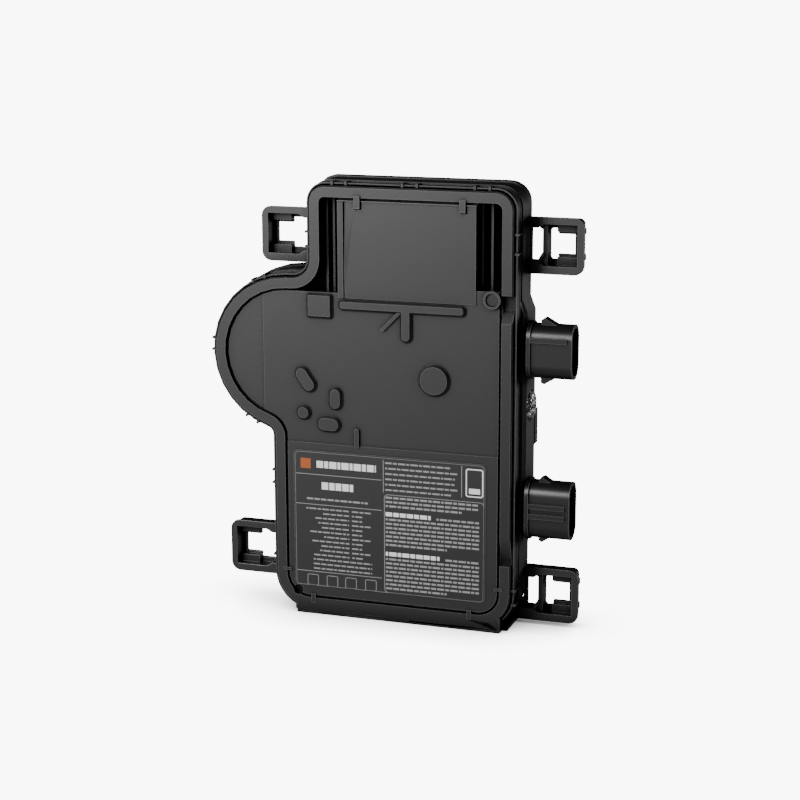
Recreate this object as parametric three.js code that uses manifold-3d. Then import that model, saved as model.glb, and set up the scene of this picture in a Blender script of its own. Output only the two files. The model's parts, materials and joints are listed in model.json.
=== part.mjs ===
// Module-level solar microinverter: a potted black polymer enclosure that stands on its bottom edge,
// with two DC bulkhead connectors on the right flank and an AC receptacle in the round lobe's back.
// Millimetres, +Z up, front face towards -Y. The origin is the centre of the bottom resting face.
import * as THREE from 'three';
import { mergeVertices } from 'three/addons/utils/BufferGeometryUtils.js';
import Module from 'manifold-3d';

const wasm = await Module();
wasm.setup();

// ---------------------------------------------------------------------------------------------
// Driving dimensions. A "depth" is measured backwards from the front rim's face.
const BODY_DEPTH = 29.4;
const FRONT_Y = -BODY_DEPTH / 2;

const BODY_RIGHT = 56.3;
const BODY_LEFT = -61.7;
const NECK_LEFT = -43.0;
const BODY_TOP = 209.9;
const BODY_BASE = 3.0;
const LOBE = { x: -55.0, z: 129.0, r: 37.0 };
const NECK_FILLET = 9.0;
const LOBE_FILLET = 5.6;
const CORNER = { topRight: 8.5, topLeft: 8.0, bottomRight: 16.0, bottomLeft: 17.0 };
const ARC_STEP = 12 * Math.PI / 180;

const GAP = 0.3;
const COVER_BACK = 5.0;
const COVER_PLATE = 3.4;
const RIM_CHAMFER = 0.6;
const RIM_WIDTH = 5.2;
const GROOVE_WIDTH = 1.3;
const GROOVE_DEPTH = 2.4;
const SKIRT_THICKNESS = 5.4;

const LIP_GROW = [0.9, 1.5];
const LIP_FRONT = 2.0;
const WALL_FRONT = 6.5;
const WALL_GROW = 2.1;
const REAR_GROW = 1.4;
const CAVITY_GROW = -1.6;
const CAVITY_BACK = 27.2;
const REAR_BAND = 20.5;
const REAR_ROUND = 1.8;
const REAR = { rise: 1.1, topLeft: 5.0, lobeGrow: 1.5 };

const LEDGE_HALF = 51.35;
const LEDGE_DEPTH = 4.5;
const FOOT_HALF = 54.0;

// Front face levels, as depths behind the rim's face; raised details stand proud of the rim.
const LEVEL = { label: 0.4, plate: 0.4, bead: 0.5, panel: 0.9, lobe: 1.4, raised: -0.8 };
const LABEL_TOP = 86.2;
const PANEL_TOP = 157.2;
const CREASE_X = -67.1;
const CLIPS = [[-20.2, -17.3], [31.0, 33.8]];
const PLATE = { x0: -25.2, x1: 38.6, z0: 157.4, z1: 203.0 };
const BEAD = { x0: -28.7, x1: -26.0 };
const TRENCH_DEPTH = 12.5;
const TRENCH_WALL = 1.2;
const TRENCHES = [
  { x0: -56.0, x1: -28.7, z0: 159.6, z1: 207.0, fins: [-35.6, -32.2] },
  { x0: 38.9, x1: 56.0, z0: 164.0, z1: 207.0, fins: [40.4, 45.0] },
];
const FIN = { thickness: 0.9, front: 5.5 };

const EAR = {
  top: 13.0, bottom: 13.5, wall: 3.3, corner: 4.6, front: 18.0, flange: 19.6, lip: 24.5, back: 27.0,
  windowHalf: 7.3, railHalf: 4.7, railReach: 7.9, lipInset: 5.8, neckHalf: 7.9,
};
const EAR_BACK = { tipInset: 1.6, sideInset: 1.0, corner: 2.6 };
const EARS = [
  { name: 'mounting_ear_upper_left', side: -1, tip: 74.0, root: 40, z: 184.0 },
  { name: 'mounting_ear_upper_right', side: 1, tip: 85.0, root: 50, cross: 64.9, z: 184.0 },
  { name: 'mounting_ear_lower_left', side: -1, tip: 93.8, root: 50, z: 25.4 },
  { name: 'mounting_ear_lower_right', side: 1, tip: 85.1, root: 40, cross: 64.9, z: 15.7 },
];
const CROSS_WALL = { thickness: 2.5, front: 20.0, x0: 58.6 };

const FLARE = { x: 61.0, z0: 25.5, z1: 165.2, runLow: 28.5, runHigh: 12.0, front: 8.0, back: 26.0 };
const SOCKET = { depth: 13.5, halfY: 7.5, corner: 6.8, wall: 1.6, x0: 61.4, tip: 82.7 };
const COLLAR = { grow: 0.9, x1: 63.2 };
const RIB_END = 80.4;
const SOCKETS = [
  { name: 'upper', z: 135.7, halfZ: 12.85, ribs: [6.0], latches: [[2.8, 6.8], [2.7, 6.2]] },
  { name: 'lower', z: 59.7, halfZ: 13.9, ribs: [2.7, -2.1], latches: [[1.9, 4.6], [1.9, 4.2]] },
];
const LENS = { z: 108.4, depth: 17.0, r: 7.3, x0: 57.6, x1: 62.7 };
const AC_PORT = { x: -57.0, z: 129.0, r: 15.0, bore: 12.4, front: 11.5, back: 29.0 };
const BOARD = { front: 19.4, back: 21.0 };

// ---------------------------------------------------------------------------------------------
// Materials
const finish = (color, roughness, metalness = 0) =>
  new THREE.MeshStandardMaterial({ color, roughness, metalness });
const blackPolymer = finish(0x2f2f2f, 0.55);
const labelFilm = finish(0x2a2a2a, 0.5);
const darkRubber = finish(0x161616, 0.85);
const clearLens = finish(0xd9dde0, 0.1);
const boardGreen = finish(0x1d5a38, 0.5);
const tinned = finish(0xb9bcc0, 0.3, 1);
const copper = finish(0xb5713f, 0.35, 1);
const ferrite = finish(0x3a3a3c, 0.75);
const aluminium = finish(0xa9acaf, 0.4, 1);
const canSleeve = finish(0x22262e, 0.45);
const filmYellow = finish(0xb99a3d, 0.5);
const packageBlack = finish(0x18181a, 0.6);
const pottingGrey = finish(0x4b4b4d, 0.8);
const ledDie = finish(0xe6e2c8, 0.4);

// ---------------------------------------------------------------------------------------------
// Solids
const group = new THREE.Group();

// Closed solid from a geometry: welded, without empty triangles, and with its faces outwards.
function toSolid(geometry) {
  const bare = geometry.clone();
  bare.deleteAttribute('normal');
  bare.deleteAttribute('uv');
  const merged = mergeVertices(bare, 1e-4);
  const position = merged.attributes.position;
  const corner = [new THREE.Vector3(), new THREE.Vector3(), new THREE.Vector3()];
  const triangles = [];
  let volume = 0;
  for (let i = 0; i < merged.index.count; i += 3) {
    const [a, b, c] = [0, 1, 2].map((k) => merged.index.getX(i + k));
    if (a !== b && b !== c && c !== a) {
      triangles.push([a, b, c]);
      corner.forEach((point, k) => point.fromBufferAttribute(position, [a, b, c][k]));
      volume += corner[0].dot(corner[1].cross(corner[2]));
    }
  }
  const outwards = volume > 0 ? triangles : triangles.map(([a, b, c]) => [a, c, b]);
  return new wasm.Manifold(new wasm.Mesh({
    numProp: 3,
    vertProperties: new Float32Array(position.array),
    triVerts: new Uint32Array(outwards.flat()),
  }));
}

function addMesh(name, body, material) {
  const data = body.getMesh();
  const geometry = new THREE.BufferGeometry();
  geometry.setAttribute('position', new THREE.BufferAttribute(data.vertProperties, 3));
  geometry.setIndex(new THREE.BufferAttribute(data.triVerts, 1));
  const mesh = new THREE.Mesh(geometry, material);
  mesh.name = name;
  group.add(mesh);
}

const union = (first, ...rest) => rest.reduce((sum, item) => sum.add(item), first);
const cut = (first, ...rest) => rest.reduce((sum, item) => sum.subtract(item), first);

// Box from x, depth and z ranges given in either order.
function box(xa, xb, da, db, za, zb) {
  const geometry = new THREE.BoxGeometry(Math.abs(xb - xa), Math.abs(db - da), Math.abs(zb - za));
  geometry.translate((xa + xb) / 2, FRONT_Y + (da + db) / 2, (za + zb) / 2);
  return toSolid(geometry);
}

// Prism of an XZ outline between two depths; a chamfer narrows both of its ends.
function prism(points, front, back, chamfer = 0) {
  const geometry = new THREE.ExtrudeGeometry(new THREE.Shape(points), {
    depth: back - front - 2 * chamfer,
    steps: 1,
    curveSegments: 8,
    bevelEnabled: chamfer > 0,
    bevelThickness: chamfer,
    bevelSize: chamfer,
    bevelOffset: -chamfer,
    bevelSegments: 1,
  });
  geometry.rotateX(Math.PI / 2);
  geometry.translate(0, FRONT_Y + back - chamfer, 0);
  return toSolid(geometry);
}

// Prism of a (depth, z) outline between two x values.
function crossPrism(points, xa, xb) {
  const outline = points.map((p) => new THREE.Vector2(FRONT_Y + p.x, p.y));
  const geometry = new THREE.ExtrudeGeometry(new THREE.Shape(outline), {
    depth: Math.abs(xb - xa), steps: 1, bevelEnabled: false,
  });
  geometry.rotateX(Math.PI / 2);
  geometry.rotateZ(Math.PI / 2);
  geometry.translate(Math.min(xa, xb), 0, 0);
  return toSolid(geometry);
}

// Solid of revolution; profile points are (radius, distance along the axis).
function lathe(profile, segments) {
  return new THREE.LatheGeometry(profile.map(([r, a]) => new THREE.Vector2(r, a)), segments);
}

function latheY(profile, x, z, segments = 24) {
  const geometry = lathe(profile, segments);
  geometry.translate(x, FRONT_Y, z);
  return toSolid(geometry);
}

function latheX(profile, depth, z, segments = 24) {
  const geometry = lathe(profile, segments);
  geometry.rotateZ(-Math.PI / 2);
  geometry.translate(0, FRONT_Y + depth, z);
  return toSolid(geometry);
}

function latheZ(profile, x, depth, segments = 24) {
  const geometry = lathe(profile, segments);
  geometry.rotateX(Math.PI / 2);
  geometry.translate(x, FRONT_Y + depth, 0);
  return toSolid(geometry);
}

const discY = (x, z, r, front, back, segments = 24) =>
  latheY([[0, front], [r, front], [r, back], [0, back]], x, z, segments);

// ---------------------------------------------------------------------------------------------
// Outlines
function arc(cx, cz, r, from, to) {
  const steps = Math.max(2, Math.round(Math.abs(to - from) / ARC_STEP));
  const points = [];
  for (let i = 0; i <= steps; i += 1) {
    const angle = from + (to - from) * i / steps;
    points.push(new THREE.Vector2(cx + r * Math.cos(angle), cz + r * Math.sin(angle)));
  }
  return points;
}

// The cover's outline, offset outwards by grow; the back shell's outline is a little larger.
// Every offset of both has the same number of points.
function bodyOutline(grow, atRear = false) {
  const quarter = Math.PI / 2;
  const top = BODY_TOP + (atRear ? REAR.rise : 0);
  const lobeRadius = LOBE.r + (atRear ? REAR.lobeGrow : 0);
  const low = {
    x: BODY_LEFT - LOBE_FILLET,
    z: LOBE.z - Math.sqrt((lobeRadius + LOBE_FILLET) ** 2 - (BODY_LEFT - LOBE_FILLET - LOBE.x) ** 2),
  };
  const tangent = Math.atan2(LOBE.z - low.z, LOBE.x - low.x);
  const { topRight, bottomRight, bottomLeft } = CORNER;
  const topLeft = atRear ? REAR.topLeft : CORNER.topLeft;
  const lobeTop = LOBE.z + lobeRadius;
  return [
    ...arc(BODY_LEFT + bottomLeft, BODY_BASE + bottomLeft, bottomLeft + grow, 2 * quarter, 3 * quarter),
    ...arc(BODY_RIGHT - bottomRight, BODY_BASE + bottomRight, bottomRight + grow, -quarter, 0),
    ...arc(BODY_RIGHT - topRight, top - topRight, topRight + grow, 0, quarter),
    ...arc(NECK_LEFT + topLeft, top - topLeft, topLeft + grow, quarter, 2 * quarter),
    ...arc(NECK_LEFT - NECK_FILLET, lobeTop + NECK_FILLET, NECK_FILLET - grow, 0, -quarter),
    ...arc(LOBE.x, LOBE.z, lobeRadius + grow, quarter, tangent + 2 * quarter),
    ...arc(low.x, low.z, LOBE_FILLET - grow, tangent, 0).slice(1),
  ];
}

// Closed loft of the body outline through [depth, grow, atRear] levels.
function loft(levels) {
  const rings = levels.map(([depth, grow, atRear]) =>
    bodyOutline(grow, atRear).map((p) => [p.x, FRONT_Y + depth, p.y]));
  const count = rings[0].length;
  const index = [];
  for (let level = 0; level + 1 < rings.length; level += 1) {
    for (let i = 0; i < count; i += 1) {
      const a = level * count + i;
      const b = level * count + (i + 1) % count;
      index.push(a, b, a + count, b, b + count, a + count);
    }
  }
  const faces = THREE.ShapeUtils.triangulateShape(bodyOutline(levels[0][1]), []);
  const last = (rings.length - 1) * count;
  for (const [a, b, c] of faces) {
    index.push(a, c, b);
    index.push(last + a, last + b, last + c);
  }
  const geometry = new THREE.BufferGeometry();
  geometry.setAttribute('position', new THREE.Float32BufferAttribute(rings.flat(2), 3));
  geometry.setIndex(index);
  return toSolid(geometry);
}

const ring = (outer, inner, front, back) =>
  cut(loft([[front, outer], [back, outer]]), loft([[front - 1, inner], [back + 1, inner]]));

function roundedRect(xa, xb, za, zb, r) {
  const quarter = Math.PI / 2;
  return [
    ...arc(xa + r, za + r, r, 2 * quarter, 3 * quarter),
    ...arc(xb - r, za + r, r, -quarter, 0),
    ...arc(xb - r, zb - r, r, 0, quarter),
    ...arc(xa + r, zb - r, r, quarter, 2 * quarter),
  ];
}

// Slot shape: a straight run of the given length with round ends, turned by angle.
function pill(x, z, width, length, angle) {
  const r = width / 2;
  const run = length / 2 - r;
  const dx = Math.cos(angle) * run;
  const dz = Math.sin(angle) * run;
  const half = Math.PI / 2;
  return [
    ...arc(x + dx, z + dz, r, angle - half, angle + half),
    ...arc(x - dx, z - dz, r, angle + half, angle + 3 * half),
  ];
}

// ---------------------------------------------------------------------------------------------
// Front cover: rim, groove, panels at their own levels, trenches and raised details.
const RAISED_BACK = 3.0;
const PAD_CHAMFER = 1.2;
const PORT_BOSS = { x: 46.6, z: 160.4, r: 4.2, bore: 3.2 };
const LOW_PORT = { x: -50.8, z: 11.6, r: 2.5 };
const LEDGE_SLOTS = [[-49.5, -40.7], [-27.0, -7.0], [6.0, 25.8], [39.2, 50.4]];

function frontPanels() {
  const inside = (level, xa, xb, za, zb) =>
    loft([[-2, -RIM_WIDTH - GROOVE_WIDTH], [level, -RIM_WIDTH - GROOVE_WIDTH]])
      .intersect(box(xa, xb, -3, level + 1, za, zb));
  const far = 120;
  return [
    inside(LEVEL.label, -far, far, 0, LABEL_TOP),
    inside(LEVEL.panel, CREASE_X, far, LABEL_TOP, PANEL_TOP),
    inside(LEVEL.panel, CREASE_X, -28.7, PANEL_TOP, TRENCHES[0].z0),
    inside(LEVEL.panel, PLATE.x1 + 0.3, far, PANEL_TOP, 164),
    inside(LEVEL.lobe, -far, CREASE_X, LABEL_TOP, 170),
    ...CLIPS.map(([xa, xb]) => box(xa - 0.5, xb + 0.7, -1, 2.6, 199.2, PLATE.z1)),
    box(PLATE.x0, PLATE.x1, -1, LEVEL.plate, PLATE.z0, PLATE.z1),
    box(PLATE.x1, PLATE.x1 + 0.3, -1, 3.0, PLATE.z0, PLATE.z1),
    box(BEAD.x0, BEAD.x1, -1, LEVEL.bead, PLATE.z0, PLATE.z1),
    box(BEAD.x1, PLATE.x0, -1, 1.6, PLATE.z0, PLATE.z1),
    box(-28.7, PLATE.x1, -1, LEVEL.panel + 0.3, PANEL_TOP - 0.2, PLATE.z0),
  ];
}

// Dark scoops that cross the right rim where its middle stretch begins and ends.
function rimScoops() {
  const back = 4.0;
  const upper = [[-1, 149], [-1, 162.6], [back, 162.6], [back, 155.4], [0, 149.5]];
  const lower = [[-1, 33.6], [back - 1, 33.6], [back - 1, 36], [0, 46.8], [-1, 46.8]];
  const shape = (points) => points.map(([d, z]) => new THREE.Vector2(d, z));
  const from = BODY_RIGHT - RIM_WIDTH;
  return [crossPrism(shape(upper), from, BODY_RIGHT + 2), crossPrism(shape(lower), from, BODY_RIGHT + 2)];
}

function raisedDetails() {
  const pad = (points) => prism(points, LEVEL.raised, RAISED_BACK, PAD_CHAMFER);
  const stud = (x, z, r) => latheY([
    [0, LEVEL.raised], [r - PAD_CHAMFER, LEVEL.raised], [r, LEVEL.raised + PAD_CHAMFER], [r, RAISED_BACK],
    [0, RAISED_BACK],
  ], x, z);
  const bar = { x0: -28.6, x1: 34.1, z0: 151.4, z1: 157.0 };
  const stem = { x0: 1.9, x1: 8.1, z0: 137.7 };
  return [
    pad(roundedRect(bar.x0, bar.x1, bar.z0, bar.z1, 2.4)),
    pad(roundedRect(stem.x0, stem.x1, stem.z0, bar.z1 - 1, 3.0)),
    prism(pill(-2.6, 147.6, 1.6, 13, Math.PI / 4), LEVEL.raised + 0.6, RAISED_BACK),
    pad(roundedRect(-44.6, -31.3, 147.0, 159.3, 1.6)),
    pad(pill(-45.5, 117.2, 7.8, 14.0, -0.96)),
    pad(pill(-30.4, 108.7, 7.2, 11.6, Math.PI / 2)),
    stud(-46.7, 100.9, 3.8),
    pad(pill(-33.9, 96.0, 8.2, 12.4, -0.04)),
    stud(18.7, 120.7, 7.8),
    prism(roundedRect(-20.9, -18.7, 85.4, 94.7, 0.5), LEVEL.raised + 0.5, RAISED_BACK),
    discY(PORT_BOSS.x, PORT_BOSS.z, PORT_BOSS.r, LEVEL.raised, RAISED_BACK),
  ];
}

// Small ribs that bridge the groove around the panels, and the plate's two clips.
function grooveRibs() {
  const ribs = [
    [-43.9, -41.6, 5.6, 10.2], [35.2, 37.4, 5.6, 10.2],
    [-58.3, -54.0, 21.2, 22.6], [48.5, 52.4, 21.2, 22.6],
  ];
  return [
    ...ribs.map(([xa, xb, za, zb]) => box(xa, xb, -0.3, RAISED_BACK, za, zb)),
    ...CLIPS.map(([xa, xb]) => box(xa, xb, -0.7, RAISED_BACK, 199.8, 205.8)),
  ];
}

// Deep pocket beside the plate. Its outer side follows the rim's inner edge.
function trench({ x0, x1, z0, z1, fins }) {
  const t = TRENCH_WALL;
  const inRim = (grow, front, back) => loft([[front, -RIM_WIDTH + grow], [back, -RIM_WIDTH + grow]]);
  const shell = box(x0 - t, x1 + t, 2, TRENCH_DEPTH + t, z0 - t, z1 + t)
    .intersect(inRim(t, 2, TRENCH_DEPTH + t));
  const hollow = box(x0, x1, -1, TRENCH_DEPTH, z0, z1).intersect(inRim(0, -1, TRENCH_DEPTH));
  const half = FIN.thickness / 2;
  const blades = fins.map((x) => box(x - half, x + half, FIN.front, TRENCH_DEPTH + 0.5, z0 - 0.5, z1 + t)
    .intersect(inRim(0.5, FIN.front - 1, TRENCH_DEPTH + t)));
  return { shell, hollow, blades };
}

function frontCover() {
  const rim = loft([[0, -RIM_CHAMFER], [RIM_CHAMFER, 0], [COVER_BACK, 0]]);
  const hollow = loft([[COVER_PLATE, -SKIRT_THICKNESS], [COVER_BACK + 1, -SKIRT_THICKNESS]]);
  const ledge = prism([
    [-LEDGE_HALF, 0], [LEDGE_HALF, 0], [LEDGE_HALF, 7.4], [43, 7.4], [-43, 5.4], [-LEDGE_HALF, 5.4],
  ].map(([x, z]) => new THREE.Vector2(x, z)), 0, LEDGE_DEPTH);
  const groove = ring(-RIM_WIDTH, -RIM_WIDTH - GROOVE_WIDTH, -1, GROOVE_DEPTH);
  const cups = TRENCHES.map(trench);
  let cover = union(cut(rim, hollow), ledge, ...cups.map((c) => c.shell));
  cover = cut(cover, groove, ...frontPanels(), ...cups.map((c) => c.hollow), ...rimScoops());
  cover = union(cover, ...cups.flatMap((c) => c.blades), ...raisedDetails(), ...grooveRibs());
  const port = PORT_BOSS;
  return cut(
    cover,
    discY(port.x, port.z, port.bore, -2, LEVEL.panel + 1.2),
    discY(LOW_PORT.x, LOW_PORT.z, LOW_PORT.r, -2, 3.0),
    ...LEDGE_SLOTS.map(([a, b]) => box(a, b, -1, 0.5, 0.9, 1.9)),
  );
}

// ---------------------------------------------------------------------------------------------
// Rear housing: deep tray with a grooved flange, flared right flank, feet and port openings.
const TOP_TICKS = [-31.6, -24.8, 2.8, 9.9, 37.5, 44.6];
const NECK_TICKS = [187.8, 180.9];
const LEFT_TICKS = [70.8, 64.4, 28.0];
const RIGHT_TICKS = [190.6, 181.6, 21.4, 14.4];
const LOBE_TICKS = [107, 117, 172, 180.5, 235.5, 245];

// Short ribs that bridge the step between the lip and the wall, just outside the cover.
function flangeTicks() {
  const half = 0.5;
  const [near, far] = [0.35, 2.4];
  const [front, back] = [LIP_FRONT - 0.6, WALL_FRONT + 1];
  const upright = (x) => box(x - half, x + half, front, back, BODY_TOP + near, BODY_TOP + far - 0.4);
  const level = (x, side) => (z) => box(x + side * near, x + side * far, front, back, z - half, z + half);
  const around = (degrees) => {
    const angle = degrees * Math.PI / 180;
    const middle = LOBE.r + (near + far) / 2;
    const geometry = new THREE.BoxGeometry(far - near, back - front, 2 * half);
    geometry.rotateY(-angle);
    geometry.translate(LOBE.x + middle * Math.cos(angle), FRONT_Y + (front + back) / 2,
      LOBE.z + middle * Math.sin(angle));
    return toSolid(geometry);
  };
  return [
    ...TOP_TICKS.map(upright),
    ...NECK_TICKS.map(level(NECK_LEFT, -1)),
    ...LEFT_TICKS.map(level(BODY_LEFT, -1)),
    ...RIGHT_TICKS.map(level(BODY_RIGHT, 1)),
    ...LOBE_TICKS.map(around),
  ];
}

function socketOutline({ z, halfZ }, grow) {
  const { halfY, corner, depth } = SOCKET;
  return roundedRect(depth - halfY - grow, depth + halfY + grow, z - halfZ - grow, z + halfZ + grow,
    corner + grow);
}

function flankFlare() {
  const { x, z0, z1, runLow, runHigh, front, back } = FLARE;
  const inner = BODY_RIGHT;
  const outline = [[inner, z0], [x, z0 + runLow], [x, z1 - runHigh], [inner, z1]];
  return prism(outline.map(([px, pz]) => new THREE.Vector2(px, pz)), front, back, 1.6);
}

function rearHousing() {
  const walls = loft([
    [WALL_FRONT, WALL_GROW - 0.4], [WALL_FRONT + 1.2, WALL_GROW - 0.4], [WALL_FRONT + 1.3, WALL_GROW - 1.3],
    [WALL_FRONT + 2.3, WALL_GROW - 1.3], [WALL_FRONT + 2.4, WALL_GROW], [REAR_BAND, WALL_GROW],
    [REAR_BAND + 0.1, WALL_GROW - 0.8], [REAR_BAND + 0.9, WALL_GROW - 0.8],
    [REAR_BAND + 1, REAR_GROW, true], [BODY_DEPTH - REAR_ROUND, REAR_GROW, true],
    [BODY_DEPTH - REAR_ROUND * 0.5, REAR_GROW - REAR_ROUND * 0.13, true],
    [BODY_DEPTH - REAR_ROUND * 0.13, REAR_GROW - REAR_ROUND * 0.5, true],
    [BODY_DEPTH, REAR_GROW - REAR_ROUND, true],
  ]);
  const lip = ring(LIP_GROW[1], LIP_GROW[0], LIP_FRONT, WALL_FRONT + 0.5);
  const cavity = loft([[WALL_FRONT - 1, CAVITY_GROW], [CAVITY_BACK, CAVITY_GROW]]);
  const feet = box(-FOOT_HALF, FOOT_HALF, LEDGE_DEPTH + GAP, 25.0, 0, 2.2);
  const seat = box(-LEDGE_HALF - GAP, LEDGE_HALF + GAP, 0, WALL_FRONT, -1, 8);
  const tab = box(BODY_RIGHT, 61.4, 24.0, 28.8, 88.0, 104.8);
  const body = union(walls, cut(lip, seat), feet, flankFlare(), tab, ...flangeTicks());
  const ports = SOCKETS.map((socket) => crossPrism(socketOutline(socket, -2.6), BODY_RIGHT - 4, FLARE.x + 1));
  const lensSeat = latheX([[0, 50], [LENS.r + GAP, 50], [LENS.r + GAP, 70], [0, 70]], LENS.depth, LENS.z);
  const acSeat = discY(AC_PORT.x, AC_PORT.z, AC_PORT.r + GAP, CAVITY_BACK - 1, BODY_DEPTH + 1);
  const backGrooves = [-30, -10, 10, 30].map((x) =>
    box(x - 0.9, x + 0.9, BODY_DEPTH - 0.9, BODY_DEPTH + 1, 20, 90));
  return cut(body, cavity, ...ports, lensSeat, acSeat, ...backGrooves);
}

addMesh('front_cover', frontCover(), blackPolymer);
addMesh('rear_housing', rearHousing(), blackPolymer);
addMesh('perimeter_gasket', ring(-0.2, -1.4, COVER_BACK + GAP, WALL_FRONT - GAP), darkRubber);

// ---------------------------------------------------------------------------------------------
// Mounting ears: open frames with a stepped back lip, two rails and a cross wall.
function mountingEar({ side, tip, root, cross, z }) {
  const e = EAR;
  const flat = (points) => points.map(([x, h]) => new THREE.Vector2(side * x, z + h));
  const bend = [0, 0.3, 0.6, 0.9, 1.2, 1.5].map((t) => t * Math.PI / 3);
  const outline = (end, low, high, c) => flat([
    [root, -low],
    ...bend.map((t) => [end - c + c * Math.sin(t), -low + c - c * Math.cos(t)]),
    ...bend.map((t) => [end - c + c * Math.sin(t), high - c + c * Math.cos(t)]).reverse(),
    [root, high],
  ]);
  const w = e.top - e.wall;
  const neck = tip - 22;
  const pocket = flat([
    [root, -e.neckHalf], [neck, -e.neckHalf], [neck + 3, -w], [tip - e.wall, -w],
    [tip - e.wall, w], [neck + 3, w], [neck, e.neckHalf], [root, e.neckHalf],
  ]);
  const rail = tip - e.lipInset - e.railReach;
  const inner = cross ? cross + CROSS_WALL.thickness : root;
  const shoulder = e.railHalf + 1.5;
  const through = flat([
    [inner, -shoulder], [inner + 1, -e.windowHalf], [rail, -e.windowHalf], [rail, -e.railHalf],
    [tip - e.lipInset, -e.railHalf], [tip - e.lipInset, e.railHalf], [rail, e.railHalf],
    [rail, e.windowHalf], [inner + 1, e.windowHalf], [inner, shoulder],
  ]);
  const { tipInset, sideInset, corner } = EAR_BACK;
  const flange = prism(outline(tip, e.bottom, e.top, e.corner), e.front, e.flange);
  const skirt = prism(outline(tip - tipInset, e.bottom - sideInset, e.top - sideInset, corner),
    e.front + 0.5, e.back);
  const frame = cut(union(flange, skirt), prism(pocket, e.front - 1, e.lip));
  const steps = [-1, 1].map((up) => box(side * rail, side * (tip - e.wall + 0.5), e.lip - 2.4, e.back,
    z + up * (e.railHalf + 1.2), z + up * (w + 0.5)));
  const bumps = [-5.5, 6.5].map((dz) => box(side * (tip - 2.4), side * (tip - 0.6), 19, 25,
    z + dz - 1.4, z + dz + 1.4));
  const parts = [frame, ...steps, ...bumps];
  const holes = [prism(through, e.front, e.back + 1)];
  if (cross) {
    parts.push(box(side * cross, side * inner, CROSS_WALL.front, e.back, z - w - 0.5, z + w + 0.5));
    parts.push(prism(flat([
      [cross - 3.4, -w - 0.2], [cross - 2.0, -w - 0.2], [cross + 1.2, -4.2], [cross, -3.6],
    ]), e.front + 0.6, e.back));
    holes.push(prism(flat([
      [CROSS_WALL.x0, -e.neckHalf], [cross - 2.6, -e.neckHalf], [cross, -3.8],
      [cross, 5.4], [cross - 3.4, e.neckHalf], [CROSS_WALL.x0, e.neckHalf],
    ]), e.front, e.back + 1));
  }
  const [near, far] = [WALL_GROW + GAP, REAR_GROW + GAP];
  return cut(union(...parts), ...holes, loft([
    [0, near], [REAR_BAND, near], [REAR_BAND + 1, far, true], [BODY_DEPTH + 1, far, true],
  ]));
}

for (const ear of EARS) {
  addMesh(ear.name, mountingEar(ear), blackPolymer);
}

// ---------------------------------------------------------------------------------------------
// DC bulkhead connectors: oval shroud, latch ramps, locating ribs, contact and seal.
function dcShroud(socket) {
  const { z, halfZ, ribs, latches } = socket;
  const s = SOCKET;
  const barrel = crossPrism(socketOutline(socket, 0), s.x0, s.tip);
  const collar = crossPrism(socketOutline(socket, COLLAR.grow), s.x0, COLLAR.x1);
  const neck = crossPrism(socketOutline(socket, -3.0), BODY_RIGHT - 3.6, s.x0 + 1);
  const bore = crossPrism(socketOutline(socket, -s.wall), s.x0 + 2.0, s.tip + 1);
  const ramp = (up, rise, run) => {
    const base = z + up * (halfZ - 1);
    const crest = z + up * (halfZ + rise);
    const points = [[67.2, base], [67.2, crest - up * 0.8], [68.8, crest], [68.8 + run, base]];
    return prism(points.map(([x, h]) => new THREE.Vector2(x, h)), 10.6, 16.4);
  };
  const front = s.depth - s.halfY;
  const keys = ribs.map((dz) => box(s.x0, RIB_END, front - 0.7, front + 1, z + dz - 1.2, z + dz + 1.2));
  const guide = box(s.x0 + 1.5, s.tip - 7, s.depth + 4.2, s.depth + s.halfY - 1, z - 1, z + 1);
  const stem = latheX([[0, 50], [1.9 + GAP, 50], [1.9 + GAP, 70], [0, 70]], s.depth, z, 16);
  const teeth = latches.map(([rise, run], i) => ramp(i === 0 ? 1 : -1, rise, run));
  return cut(union(cut(union(barrel, collar, ...teeth, ...keys, neck), bore), guide), stem);
}

for (const socket of SOCKETS) {
  const { name, z } = socket;
  const s = SOCKET;
  addMesh(`dc_connector_${name}`, dcShroud(socket), blackPolymer);
  const seal = cut(crossPrism(socketOutline(socket, -s.wall - GAP), s.x0 + 2.3, s.x0 + 4.3),
    crossPrism(socketOutline(socket, -s.wall - 2.2), s.x0 + 1, s.x0 + 6));
  addMesh(`dc_seal_${name}`, cut(seal, box(s.x0, s.x0 + 9, s.depth + 3.6, s.depth + 8, z - 1.4, z + 1.4)),
    darkRubber);
}

addMesh('dc_contact_upper',
  latheX([[0, 49.5], [1.9, 49.5], [1.9, 77], [1.2, 79.5], [0, 80]], SOCKET.depth, SOCKETS[0].z, 16), tinned);
addMesh('dc_contact_lower',
  cut(latheX([[0, 49.5], [1.9, 49.5], [1.9, 64], [3.0, 64.6], [3.0, 79], [0, 79]], SOCKET.depth,
    SOCKETS[1].z, 16),
  latheX([[0, 66], [1.9, 66], [1.9, 82], [0, 82]], SOCKET.depth, SOCKETS[1].z, 16)), tinned);

// ---------------------------------------------------------------------------------------------
// Status light: clear domed lens over an emitter.
addMesh('status_lens', latheX([
  [0, LENS.x0], [LENS.r, LENS.x0], [LENS.r, 60.9], [LENS.r - 1.2, LENS.x1 - 0.5], [LENS.r - 3.4, LENS.x1],
  [0, LENS.x1],
], LENS.depth, LENS.z, 24), clearLens);
addMesh('status_emitter', box(50.4, 52.0, LENS.depth - 2, LENS.depth + 2, LENS.z - 2, LENS.z + 2), ledDie);

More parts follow.
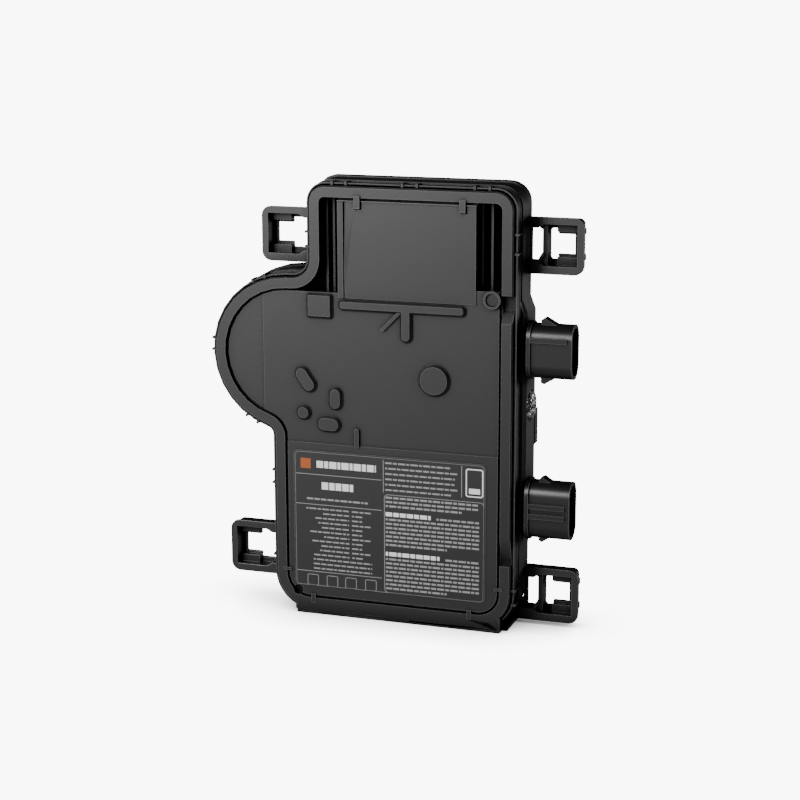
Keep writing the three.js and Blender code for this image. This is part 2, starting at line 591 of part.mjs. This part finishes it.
// ---------------------------------------------------------------------------------------------
// AC receptacle in the back of the lobe.
addMesh('ac_receptacle', latheY([
  [0, AC_PORT.front], [AC_PORT.r - 1.5, AC_PORT.front],
  [AC_PORT.r, AC_PORT.front + 1.5], [AC_PORT.r, AC_PORT.back],
  [AC_PORT.bore, AC_PORT.back], [AC_PORT.bore, AC_PORT.front + 6], [0, AC_PORT.front + 6],
], AC_PORT.x, AC_PORT.z, 32), blackPolymer);
addMesh('ac_seal', latheY([
  [AC_PORT.bore - GAP, 20.5], [AC_PORT.bore - GAP, 23], [AC_PORT.bore - 2, 23], [AC_PORT.bore - 2, 20.5],
  [AC_PORT.bore - GAP, 20.5],
], AC_PORT.x, AC_PORT.z, 32), darkRubber);
[[-4, 4], [4, 4], [-4, -4], [4, -4]].forEach(([dx, dz], i) => {
  const pin = discY(AC_PORT.x + dx, AC_PORT.z + dz, 1.2, AC_PORT.front + 6 + GAP, 26, 12);
  addMesh(`ac_pin_${i + 1}`, pin, tinned);
});

// ---------------------------------------------------------------------------------------------
// Small outside pieces.
const labelShape = roundedRect(-52.4, 44.2, 14.4, 82.4, 2.4);
addMesh('rating_label', prism(labelShape, LEVEL.label - 0.25, LEVEL.label - 0.02), labelFilm);
addMesh('fill_port_plug', discY(PORT_BOSS.x, PORT_BOSS.z, PORT_BOSS.bore - GAP, 0.2, 1.8, 20),
  darkRubber);

// ---------------------------------------------------------------------------------------------
// Inside: circuit board and what stands on it, heat spreader and potting.
function circuitBoard() {
  const plate = loft([[BOARD.front, CAVITY_GROW - 1.2], [BOARD.back, CAVITY_GROW - 1.2]]);
  const port = discY(AC_PORT.x, AC_PORT.z, AC_PORT.r + GAP, 10, 30);
  const screws = BOARD_SCREWS.map(([x, z]) => discY(x, z, 1.6, 15, 25, 12));
  return cut(plate, port, ...screws);
}

const BOARD_SCREWS = [[-52, 20], [46, 12], [-34, 196], [46, 150]];
addMesh('circuit_board', circuitBoard(), boardGreen);
BOARD_SCREWS.forEach(([x, z], i) => {
  const profile = [[0, 17.2], [2.8, 17.2], [2.8, 19.1], [1.3, 19.1], [1.3, 26.4], [0, 26.4]];
  addMesh(`board_screw_${i + 1}`, latheY(profile, x, z, 12), tinned);
});

const TOP = BOARD.front - GAP;
const block = (name, x, z, w, h, tall, material) =>
  addMesh(name, box(x - w / 2, x + w / 2, TOP - tall, TOP, z - h / 2, z + h / 2), material);

// Transformer: E-shaped core half, flat core half and the winding around the middle leg.
const CORE = { x: 14, z: 118, w: 36, h: 30, plate: 3, tall: 11.5 };
function coreHalf() {
  const { x, z, w, h, plate, tall } = CORE;
  const base = box(x - w / 2, x + w / 2, TOP - plate, TOP, z - h / 2, z + h / 2);
  const leg = (a, b) => box(a, b, TOP - tall + plate + GAP, TOP - plate + 1, z - h / 2, z + h / 2);
  return union(base, leg(x - w / 2, x - w / 2 + 5), leg(x + w / 2 - 5, x + w / 2), leg(x - 5, x + 5));
}
addMesh('transformer_core_rear', coreHalf(), ferrite);
addMesh('transformer_core_front', box(CORE.x - CORE.w / 2, CORE.x + CORE.w / 2, TOP - CORE.tall,
  TOP - CORE.tall + CORE.plate, CORE.z - CORE.h / 2, CORE.z + CORE.h / 2), ferrite);
addMesh('transformer_winding', cut(
  box(CORE.x - 12.6, CORE.x + 12.6, TOP - CORE.tall + 3.4, TOP - 3.4, CORE.z - 19, CORE.z + 19),
  box(CORE.x - 5.4, CORE.x + 5.4, 0, 30, CORE.z - 15.4, CORE.z + 15.4)), copper);

// Input capacitors lie on the board beside the DC connectors.
for (let i = 0; i < 4; i += 1) {
  const r = 5.6;
  const low = 20 + i * 27;
  const high = low + 24;
  const profile = [[0, low], [r - 0.6, low], [r, low + 0.6], [r, high - 0.6], [r - 0.6, high], [0, high]];
  addMesh(`input_capacitor_${i + 1}`, latheZ(profile, 40.8, TOP - r, 16), canSleeve);
}
block('film_capacitor_1', -46, 58, 18, 9, 11, filmYellow);
block('film_capacitor_2', -46, 72, 18, 9, 11, filmYellow);
block('output_relay', -44, 34, 20, 15, 12, packageBlack);
block('control_processor', 4, 46, 14, 14, 1.6, packageBlack);
block('communication_transformer', -18, 66, 12, 12, 8, ferrite);
block('line_fuse', -22, 20, 8, 4, 7, packageBlack);
for (let i = 0; i < 4; i += 1) {
  block(`power_transistor_${i + 1}`, -12 + i * 15, 148, 10, 10, 3, packageBlack);
}
addMesh('output_choke_core', cut(discY(-6, 180, 13, TOP - 10, TOP - 2, 24), discY(-6, 180, 6.2, 0, 30, 24)),
  ferrite);
block('output_choke_base', -6, 180, 28, 28, 1.5, packageBlack);
addMesh('common_mode_choke', cut(discY(22, 180, 10, TOP - 9, TOP, 24), discY(22, 180, 4.5, 0, 30, 24)),
  copper);
for (const { name, z } of SOCKETS) {
  addMesh(`dc_busbar_${name}`, box(47.6, 49.2, SOCKET.depth - 2.5, TOP, z - 3, z + 3), copper);
}

function screwClearance() {
  return BOARD_SCREWS.map(([x, z]) => discY(x, z, 1.6, 15, 28, 12));
}
addMesh('heat_spreader', cut(box(-20, 44, 24.6, 26.6, 24, 160), ...screwClearance()), aluminium);
const POTTING = [BOARD.back + GAP, 24.3];
addMesh('potting_compound', cut(loft([[POTTING[0], CAVITY_GROW - 0.6], [POTTING[1], CAVITY_GROW - 0.6]]),
  discY(AC_PORT.x, AC_PORT.z, AC_PORT.r + GAP, 10, 30), ...screwClearance()), pottingGrey);

export default group;
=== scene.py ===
"""Looks of a module-level solar microinverter: satin black polymer, printed film, soft studio light."""
import json
import math

import bmesh
import bpy
from mathutils import Matrix, Vector


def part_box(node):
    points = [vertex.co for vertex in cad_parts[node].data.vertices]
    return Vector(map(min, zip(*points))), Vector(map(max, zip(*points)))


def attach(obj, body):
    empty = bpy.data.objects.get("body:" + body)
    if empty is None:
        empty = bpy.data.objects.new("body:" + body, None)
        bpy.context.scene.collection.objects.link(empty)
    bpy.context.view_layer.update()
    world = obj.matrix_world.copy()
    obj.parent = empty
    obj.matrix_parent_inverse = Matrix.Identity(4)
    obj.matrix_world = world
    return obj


MM = 0.001


def corners(pair):
    return [list(map(float, corner)) for corner in pair]


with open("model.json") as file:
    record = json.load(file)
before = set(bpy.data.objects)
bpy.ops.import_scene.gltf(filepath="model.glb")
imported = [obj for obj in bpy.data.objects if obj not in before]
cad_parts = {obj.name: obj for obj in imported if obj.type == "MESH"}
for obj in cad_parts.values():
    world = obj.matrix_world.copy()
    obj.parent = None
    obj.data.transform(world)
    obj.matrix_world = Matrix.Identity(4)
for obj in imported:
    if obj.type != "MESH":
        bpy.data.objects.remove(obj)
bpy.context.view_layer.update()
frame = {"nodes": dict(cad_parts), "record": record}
nodes = frame["nodes"]


# ---------------------------------------------------------------------------------------------
# Materials
BLACK = (0.005, 0.005, 0.005)
LABEL_BLACK = (0.0055, 0.0055, 0.0055)
# Painted shade: near-black colour that grooves and pockets fade to, with its reach and falloff below.
HOLLOW_SHADE = (0.001, 0.001, 0.001, 1.0)
# Painted highlight: lighter colour mixed in along sharp edges.
EDGE = (0.10, 0.10, 0.10, 1.0)
ROUGHNESS_SPREAD = 0.05
EDGE_RADIUS = 0.4 * MM
EDGE_GAIN = 18.0
PAINTED_SHADE_REACH = 9 * MM
PAINTED_SHADE_POWER = 1.8
POLYMER_SPECULAR = 0.6
GRAIN_SCALE = 1400.0
GRAIN_DEPTH = 0.2 * MM
FACET_SCALE = 620.0
FACET_DEPTH = 0.6 * MM


def new_material(name):
    material = bpy.data.materials.new(name)
    material.use_nodes = True
    tree = material.node_tree
    return material, tree, tree.nodes["Principled BSDF"]


def plain(name, color, roughness, metallic=0.0):
    """One flat finish with a little roughness variation."""
    material, tree, shader = new_material(name)
    shader.inputs["Base Color"].default_value = (*color, 1.0)
    shader.inputs["Metallic"].default_value = metallic
    noise = tree.nodes.new("ShaderNodeTexNoise")
    noise.inputs["Scale"].default_value = 240.0
    spread = tree.nodes.new("ShaderNodeMapRange")
    spread.inputs["To Min"].default_value = roughness - ROUGHNESS_SPREAD
    spread.inputs["To Max"].default_value = roughness + ROUGHNESS_SPREAD
    coords = tree.nodes.new("ShaderNodeTexCoord")
    tree.links.new(coords.outputs["Object"], noise.inputs["Vector"])
    tree.links.new(noise.outputs["Fac"], spread.inputs["Value"])
    tree.links.new(spread.outputs["Result"], shader.inputs["Roughness"])
    return material


def math_node(tree, operation, first, second, clamp=False):
    """Output of a Math node whose two inputs are each a number or the socket that feeds it."""
    node = tree.nodes.new("ShaderNodeMath")
    node.operation = operation
    node.use_clamp = clamp
    for socket, value in zip(node.inputs, (first, second)):
        if isinstance(value, float):
            socket.default_value = value
        else:
            tree.links.new(value, socket)
    return node.outputs["Value"]


def edge_mask(tree):
    """Socket that is near 1 on sharp edges and 0 on flat or gently curved faces."""
    rounded = tree.nodes.new("ShaderNodeBevel")
    rounded.samples = 4
    rounded.inputs["Radius"].default_value = EDGE_RADIUS
    surface = tree.nodes.new("ShaderNodeNewGeometry")
    compare = tree.nodes.new("ShaderNodeVectorMath")
    compare.operation = "DOT_PRODUCT"
    tree.links.new(rounded.outputs["Normal"], compare.inputs[0])
    tree.links.new(surface.outputs["Normal"], compare.inputs[1])
    turn = math_node(tree, "SUBTRACT", 1.0, compare.outputs["Value"])
    return math_node(tree, "MULTIPLY", turn, EDGE_GAIN, clamp=True)


def paint_shade_and_edge_highlight(tree, shader, color):
    """Paints shade into the colour and the specular level deep in grooves and pockets, and paints a
    highlight on sharp edges.
    """
    occlusion = tree.nodes.new("ShaderNodeAmbientOcclusion")
    occlusion.samples = 6
    occlusion.inputs["Distance"].default_value = PAINTED_SHADE_REACH
    # Painted shade: by ambient occlusion, colour and specular level fade towards near black in grooves
    # and pockets.
    unshaded_share = math_node(tree, "POWER", occlusion.outputs["AO"], PAINTED_SHADE_POWER)
    specular_in_painted_shade = math_node(tree, "MULTIPLY", unshaded_share, POLYMER_SPECULAR)
    # Painted highlight on sharp edges, weaker inside the painted shade of hollows.
    painted_edge_highlight = math_node(tree, "MULTIPLY", edge_mask(tree), unshaded_share)
    painted_shade_mix = tree.nodes.new("ShaderNodeMix")
    painted_shade_mix.data_type = "RGBA"
    painted_shade_mix.inputs["A"].default_value = HOLLOW_SHADE
    painted_shade_mix.inputs["B"].default_value = (*color, 1.0)
    # Painted highlight: mixes the lighter edge colour over the shaded colour along sharp edges.
    edges = tree.nodes.new("ShaderNodeMix")
    edges.data_type = "RGBA"
    edges.inputs["B"].default_value = EDGE
    tree.links.new(unshaded_share, painted_shade_mix.inputs["Factor"])
    tree.links.new(painted_edge_highlight, edges.inputs["Factor"])
    tree.links.new(painted_shade_mix.outputs["Result"], edges.inputs["A"])
    tree.links.new(edges.outputs["Result"], shader.inputs["Base Color"])
    tree.links.new(specular_in_painted_shade, shader.inputs["Specular IOR Level"])


def satin_polymer(name, color, roughness, grain):
    """Moulded polymer: even colour with painted shade in grooves and pockets, a painted highlight on
    sharp edges, and a fine spark-eroded grain of the given strength.
    """
    material, tree, shader = new_material(name)
    shader.inputs["Roughness"].default_value = roughness
    paint_shade_and_edge_highlight(tree, shader, color)
    coords = tree.nodes.new("ShaderNodeTexCoord")
    noise = tree.nodes.new("ShaderNodeTexNoise")
    noise.inputs["Scale"].default_value = GRAIN_SCALE
    noise.inputs["Detail"].default_value = 3.0
    bump = tree.nodes.new("ShaderNodeBump")
    bump.inputs["Strength"].default_value = grain
    bump.inputs["Distance"].default_value = GRAIN_DEPTH
    tree.links.new(coords.outputs["Object"], noise.inputs["Vector"])
    tree.links.new(noise.outputs["Fac"], bump.inputs["Height"])
    tree.links.new(bump.outputs["Normal"], shader.inputs["Normal"])
    return material


def facets(name):
    """Clear moulded optic over a dark seat, drawn as an opaque dark surface with small bumped facets:
    some facets get a painted glint in their colour, the rest stay dark.
    """
    material, tree, shader = new_material(name)
    shader.inputs["Roughness"].default_value = 0.12
    shader.inputs["Specular IOR Level"].default_value = 0.9
    coords = tree.nodes.new("ShaderNodeTexCoord")
    cells = tree.nodes.new("ShaderNodeTexVoronoi")
    cells.inputs["Scale"].default_value = FACET_SCALE
    # Painted glints: random facet cells get a light colour, on top of real glints from bump and
    # specular.
    ramp = tree.nodes.new("ShaderNodeValToRGB")
    dark, painted_glint = ramp.color_ramp.elements
    dark.position = 0.45
    dark.color = (0.006, 0.006, 0.006, 1.0)
    painted_glint.position = 0.95
    painted_glint.color = (0.7, 0.7, 0.7, 1.0)
    bump = tree.nodes.new("ShaderNodeBump")
    bump.inputs["Distance"].default_value = FACET_DEPTH
    tree.links.new(coords.outputs["Object"], cells.inputs["Vector"])
    tree.links.new(cells.outputs["Color"], ramp.inputs["Fac"])
    tree.links.new(cells.outputs["Distance"], bump.inputs["Height"])
    tree.links.new(ramp.outputs["Color"], shader.inputs["Base Color"])
    tree.links.new(bump.outputs["Normal"], shader.inputs["Normal"])
    return material


polymer = satin_polymer("black_polymer", BLACK, 0.42, 0.12)
glossy_polymer = satin_polymer("black_polymer_glossy", BLACK, 0.32, 0.05)
film = satin_polymer("label_film", LABEL_BLACK, 0.42, 0.05)
rubber = plain("dark_rubber", (0.012, 0.012, 0.012), 0.8)
lens = facets("clear_lens")
tin = plain("tinned_metal", (0.62, 0.62, 0.60), 0.3, 1.0)
copper = plain("copper", (0.72, 0.38, 0.2), 0.35, 1.0)
green = plain("board_green", (0.02, 0.12, 0.05), 0.5)
ferrite = plain("ferrite", (0.05, 0.05, 0.055), 0.75)
aluminium = plain("aluminium", (0.62, 0.63, 0.64), 0.4, 1.0)
sleeve = plain("can_sleeve", (0.02, 0.025, 0.035), 0.4)
yellow = plain("film_yellow", (0.5, 0.34, 0.05), 0.5)
package = plain("package_black", (0.012, 0.012, 0.013), 0.6)
potting = plain("potting_grey", (0.08, 0.08, 0.085), 0.8)
emitter = plain("led_emitter", (0.8, 0.75, 0.6), 0.4)

SLOT_MATERIALS = {
    "black_polymer": polymer, "label_film": film, "dark_rubber": rubber, "clear_lens": lens,
    "tinned_metal": tin, "copper": copper, "board_green": green, "ferrite": ferrite,
    "aluminium": aluminium, "can_sleeve": sleeve, "film_yellow": yellow, "package_black": package,
    "potting_grey": potting, "led_emitter": emitter,
}


def dress(obj, material):
    obj.data.materials.clear()
    obj.data.materials.append(material)


for part in frame["record"]["subparts"]:
    dress(nodes[part["node"]], SLOT_MATERIALS[part["material_slot"]])
for name in ("dc_connector_upper", "dc_connector_lower"):
    dress(nodes[name], glossy_polymer)


# ---------------------------------------------------------------------------------------------
# Softened edges on the moulded pieces
def smooth_by_angle(angle):
    """Node group that keeps only the edges flatter than the angle smooth."""
    tree = bpy.data.node_groups.new("smooth_by_angle", "GeometryNodeTree")
    tree.interface.new_socket("Geometry", in_out="INPUT", socket_type="NodeSocketGeometry")
    tree.interface.new_socket("Geometry", in_out="OUTPUT", socket_type="NodeSocketGeometry")
    start = tree.nodes.new("NodeGroupInput")
    end = tree.nodes.new("NodeGroupOutput")
    between = tree.nodes.new("GeometryNodeInputMeshEdgeAngle")
    gentle = tree.nodes.new("FunctionNodeCompare")
    gentle.operation = "LESS_THAN"
    gentle.inputs[1].default_value = math.radians(angle)
    faces = tree.nodes.new("GeometryNodeSetShadeSmooth")
    edges = tree.nodes.new("GeometryNodeSetShadeSmooth")
    edges.domain = "EDGE"
    tree.links.new(between.outputs["Unsigned Angle"], gentle.inputs[0])
    tree.links.new(start.outputs["Geometry"], faces.inputs["Geometry"])
    tree.links.new(faces.outputs["Geometry"], edges.inputs["Geometry"])
    tree.links.new(gentle.outputs["Result"], edges.inputs["Shade Smooth"])
    tree.links.new(edges.outputs["Geometry"], end.inputs["Geometry"])
    return tree


SMOOTHING = smooth_by_angle(26)
EDGE_ROUNDING = 0.35 * MM
WELD_REACH = 0.002 * MM
FLAT_ANGLE = math.radians(0.05)
SHARP_ANGLE = math.radians(25)


def soften(obj, width):
    """Rounds the sharp edges by width metres, or only smooths the curved faces if it is 0."""
    weld = obj.modifiers.new("weld", "WELD")
    weld.merge_threshold = WELD_REACH
    if width:
        flat = obj.modifiers.new("flat", "DECIMATE")
        flat.decimate_type = "DISSOLVE"
        flat.angle_limit = FLAT_ANGLE
        bevel = obj.modifiers.new("bevel", "BEVEL")
        bevel.width = width
        bevel.segments = 2
        bevel.limit_method = "ANGLE"
        bevel.angle_limit = SHARP_ANGLE
        bevel.miter_outer = "MITER_ARC"
    obj.modifiers.new("smooth", "NODES").node_group = SMOOTHING
    normals = obj.modifiers.new("normals", "WEIGHTED_NORMAL")
    normals.weight = 60
    normals.keep_sharp = True


ROUNDED = [
    "front_cover", "mounting_ear_upper_left", "mounting_ear_upper_right",
    "mounting_ear_lower_left", "mounting_ear_lower_right", "dc_connector_upper", "dc_connector_lower",
    "ac_receptacle",
]
for name in ROUNDED:
    soften(nodes[name], EDGE_ROUNDING)
soften(nodes["rear_housing"], 0)


# ---------------------------------------------------------------------------------------------
# Plain printed marks on the rating label: rules, frames, blocks and rows of dashes
LABEL_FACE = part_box("rating_label")[0].y
PRINT_LIFT = 0.03 * MM
RULE_WIDTH = 0.32
ARC_STEPS = 6
DASH_GAP = 0.55
DASH_SHORTEST = 1.1
DASH_SPREAD = 2.6
FRAME_LEFT, FRAME_RIGHT = -51.5, 43.4
FRAME_FOOT, FRAME_TOP = 14.6, 81.6
LEFT_COLUMN_END = -7.4
TEXT_START = -5.4
TEXT_PITCH = 2.1
TEXT_HEIGHT = 1.0
RATING_PITCH = 2.32
RATING_HEIGHT = 0.75


class Print:
    """Flat marks gathered into one mesh, just in front of the label film. Arguments are millimetres."""

    def __init__(self, name):
        self.name = name
        self.mesh = bmesh.new()

    def point(self, x, z):
        return self.mesh.verts.new((x * MM, LABEL_FACE - PRINT_LIFT, z * MM))

    def block(self, x0, x1, z0, z1):
        corners = [(x0, z0), (x1, z0), (x1, z1), (x0, z1)]
        self.mesh.faces.new([self.point(x, z) for x, z in corners])

    def rule(self, x0, x1, z):
        self.block(x0, x1, z - RULE_WIDTH / 2, z + RULE_WIDTH / 2)

    def upright(self, x, z0, z1):
        self.block(x - RULE_WIDTH / 2, x + RULE_WIDTH / 2, z0, z1)

    def frame(self, x0, x1, z0, z1, radius=2.0, width=0.3):
        """A rectangle's outline with rounded corners."""
        rings = []
        for reach in (radius, radius - width):
            ring = []
            for x, z, start in (
                (x1 - radius, z1 - radius, 0), (x0 + radius, z1 - radius, 90),
                (x0 + radius, z0 + radius, 180), (x1 - radius, z0 + radius, 270),
            ):
                for i in range(ARC_STEPS + 1):
                    angle = math.radians(start + 90 * i / ARC_STEPS)
                    ring.append(self.point(x + reach * math.cos(angle), z + reach * math.sin(angle)))
            rings.append(ring)
        outer, inner = rings
        for i in range(len(outer)):
            j = (i + 1) % len(outer)
            self.mesh.faces.new([outer[j], outer[i], inner[i], inner[j]])

    def dashes(self, x0, x1, z, height, seed):
        """A row of short dashes of uneven length between x0 and x1."""
        x, i = x0, seed
        while x < x1 - 0.4:
            length = DASH_SHORTEST + DASH_SPREAD * abs(math.sin(1.7 * i + 0.4 * seed))
            end = min(x + length, x1)
            self.block(x, end, z - height / 2, z + height / 2)
            x, i = end + DASH_GAP, i + 1

    def done(self, material):
        bmesh.ops.recalc_face_normals(self.mesh, faces=self.mesh.faces)
        data = bpy.data.meshes.new(self.name)
        self.mesh.to_mesh(data)
        self.mesh.free()
        obj = bpy.data.objects.new(self.name, data)
        bpy.context.scene.collection.objects.link(obj)
        dress(obj, material)
        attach(obj, "root")


def print_lines(ink):
    lines = Print("label_lines")
    lines.frame(FRAME_LEFT, FRAME_RIGHT, FRAME_FOOT, FRAME_TOP, width=0.16)
    lines.frame(-6.2, FRAME_RIGHT, FRAME_FOOT, 63.8)
    for z in (70.6, 55.6, 21.7):
        lines.rule(FRAME_LEFT, LEFT_COLUMN_END, z)
    lines.upright(-6.5, 64.6, 80.7)
    lines.upright(32.4, 65.5, 80.9)
    for x in (-42.9, -32.9, -23.3, -13.1):
        lines.frame(x - 2.9, x + 2.9, FRAME_FOOT, 20.2, radius=0.8)
    lines.done(ink)


def print_rows(ink):
    rows = Print("label_rows")
    for i in range(11):
        z = 53.5 - RATING_PITCH * i
        rows.dashes(-46.0 + 9.0 * abs(math.sin(1.3 * i)), -24.0, z, RATING_HEIGHT, i)
        rows.dashes(-22.6, -13.0 - 5.0 * abs(math.sin(2.1 * i)), z, RATING_HEIGHT, i + 5)
    for i in range(3):
        rows.dashes(-42.5, -12.4, 28.0 - RATING_PITCH * i, RATING_HEIGHT, i + 3)
    for i in range(6):
        rows.dashes(-5.6, 27.0 + 3.4 * abs(math.sin(1.9 * i)), 79.2 - 2.64 * i, 0.85, i + 2)
    for top, count, seed, end, last_end in (
        (62.2, 3, 4, 40.5, 32.5), (51.4, 7, 6, 41.2, 25.2), (31.6, 8, 6, 41.2, 25.2),
    ):
        for i in range(count):
            reach = last_end if i == count - 1 else end
            rows.dashes(TEXT_START, reach, top - TEXT_PITCH * i, TEXT_HEIGHT, i + seed)
    rows.dashes(20.0, 41.0, 53.6, TEXT_HEIGHT, 3)
    rows.dashes(24.5, 41.2, 33.8, TEXT_HEIGHT, 5)
    rows.dashes(-45.6, -14.4, 58.4, 0.95, 7)
    rows.done(ink)


def print_heads(ink):
    heads = Print("label_heads")
    heads.dashes(-40.4, -10.2, 75.8, 3.4, 2)
    heads.dashes(-37.9, -21.8, 65.2, 3.6, 1)
    heads.dashes(TEXT_START, 17.2, 54.0, 2.0, 4)
    heads.dashes(TEXT_START, 21.6, 34.2, 2.0, 6)
    heads.frame(34.4, 43.0, 66.0, 79.8, radius=1.2, width=0.6)
    heads.block(36.0, 41.4, 67.6, 70.2)
    heads.done(ink)


def print_accent(ink):
    spot = Print("label_accent")
    spot.block(-48.6, -43.4, 73.4, 78.4)
    spot.done(ink)


grey_ink = plain("ink_grey", (0.20, 0.20, 0.20), 0.5)
print_lines(grey_ink)
print_rows(grey_ink)
print_heads(plain("ink_light", (0.62, 0.62, 0.62), 0.5))
print_accent(plain("ink_accent", (0.27, 0.055, 0.001), 0.5))


# ---------------------------------------------------------------------------------------------
# Stage: floor, lights and camera
FLOOR_GLOW = 9.0
CAMERA_PLACE = Vector((284.338, -853.647, 315.884)) * MM
CAMERA_YAW = math.radians(18.597)
CAMERA_PITCH = math.radians(13.066)
CAMERA_ROLL = math.radians(-0.1715)


def add_floor():
    """Pale floor that glows for the camera only, with a painted contact shadow where the unit stands on
    it.
    """
    bpy.ops.mesh.primitive_plane_add(size=60.0, location=(0.0, 25.0, 0.0))
    floor = bpy.context.object
    floor.name = "floor"
    material, tree, shader = new_material("floor")
    shader.inputs["Base Color"].default_value = (0.25, 0.25, 0.245, 1.0)
    shader.inputs["Roughness"].default_value = 0.9
    shader.inputs["Emission Color"].default_value = (1.0, 1.0, 0.985, 1.0)
    occlusion = tree.nodes.new("ShaderNodeAmbientOcclusion")
    occlusion.samples = 12
    occlusion.inputs["Distance"].default_value = 30 * MM
    path = tree.nodes.new("ShaderNodeLightPath")
    # Painted contact shadow: the glow is dimmed by ambient occlusion where the unit is near.
    painted_contact_shadow = math_node(tree, "POWER", occlusion.outputs["AO"], 2.0)
    glow = math_node(tree, "MULTIPLY", painted_contact_shadow, FLOOR_GLOW)
    seen = math_node(tree, "MULTIPLY", glow, path.outputs["Is Camera Ray"])
    tree.links.new(seen, shader.inputs["Emission Strength"])
    floor.data.materials.append(material)


def add_area(name, location, target, side, power):
    light = bpy.data.lights.new(name, "AREA")
    light.size = side
    light.energy = power
    obj = bpy.data.objects.new(name, light)
    bpy.context.scene.collection.objects.link(obj)
    obj.location = location
    aim = Vector(target) - Vector(location)
    obj.rotation_euler = aim.to_track_quat("-Z", "Y").to_euler()


def add_world(strength):
    world = bpy.data.worlds.new("studio")
    world.use_nodes = True
    background = world.node_tree.nodes["Background"]
    background.inputs["Color"].default_value = (1.0, 1.0, 1.0, 1.0)
    background.inputs["Strength"].default_value = strength
    bpy.context.scene.world = world


def add_camera():
    level = Vector((math.cos(CAMERA_YAW), math.sin(CAMERA_YAW), 0.0))
    ahead = Vector((-math.sin(CAMERA_YAW), math.cos(CAMERA_YAW), 0.0))
    forward = ahead * math.cos(CAMERA_PITCH) - Vector((0.0, 0.0, math.sin(CAMERA_PITCH)))
    upright = level.cross(forward)
    right = level * math.cos(CAMERA_ROLL) + upright * math.sin(CAMERA_ROLL)
    up = upright * math.cos(CAMERA_ROLL) - level * math.sin(CAMERA_ROLL)
    camera = bpy.data.objects.new("camera", bpy.data.cameras.new("camera"))
    bpy.context.scene.collection.objects.link(camera)
    turn = Matrix((right, up, -forward)).transposed().to_4x4()
    camera.matrix_world = Matrix.Translation(CAMERA_PLACE) @ turn
    camera.data.lens = 87.07
    camera.data.sensor_width = 36.0
    camera.data.clip_end = 200.0
    bpy.context.scene.camera = camera


add_floor()
add_world(0.01)
add_area("key", (-0.65, -1.05, 0.62), (0, 0, 0.12), 0.6, 37)
add_area("flank", (1.3, 0.75, 0.06), (0.05, 0, 0.1), 0.5, 20)
add_camera()
